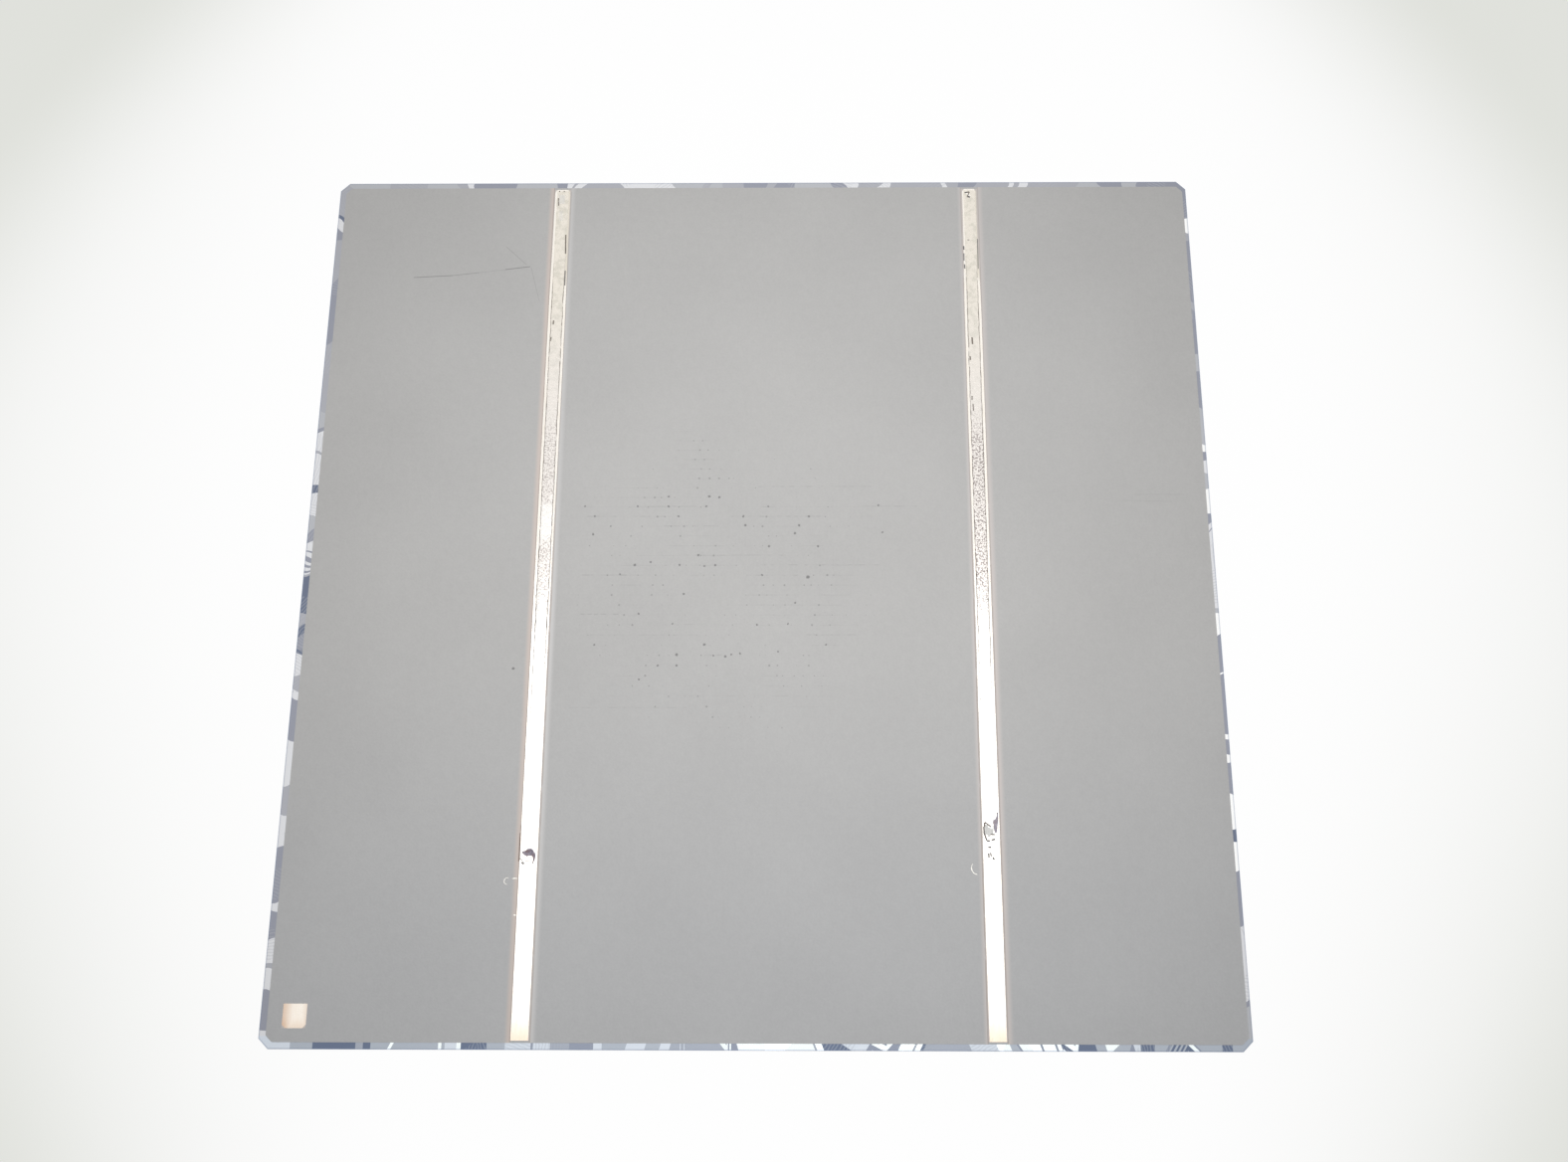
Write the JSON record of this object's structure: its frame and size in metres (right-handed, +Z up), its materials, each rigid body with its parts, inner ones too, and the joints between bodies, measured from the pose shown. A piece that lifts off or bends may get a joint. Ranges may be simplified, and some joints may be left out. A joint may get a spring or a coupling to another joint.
{
  "type": "polycrystalline solar cell",
  "caption": "Thin square polycrystalline silicon solar cell, rear side up, with an aluminium back, silver contact bars carrying old solder, a corner pad and a front finger grid.",
  "frame": {"origin": "middle of the cell on the surface that it lies on, under the sunny side's silver print", "axes": "+Z up, out of the rear side; +Y along the contact bars, away from the corner with the square pad; +X across the bars"},
  "size_m": [0.156, 0.156, 0.0003],
  "materials": {
    "silicon": "cast silicon with large glinting crystals, bare and blue-grey at the rear rim, deep blue coat on the sunny side and edges",
    "aluminium_paste": "matte fired aluminium paste, finely grained",
    "silver": "satin fired silver paste, cream white",
    "solder": "old solder, lumpy and mottled",
    "front_silver": "matte fired silver lines"
  },
  "bodies": {
    "root": {"silicon_wafer": "silicon", "rear_aluminium": "aluminium_paste", "rear_busbar_left": "silver", "rear_busbar_right": "silver", "corner_pad": "silver", "solder_strip_left": "solder", "solder_strip_right": "solder", "front_grid": "front_silver"}
  },
  "joints": []
}
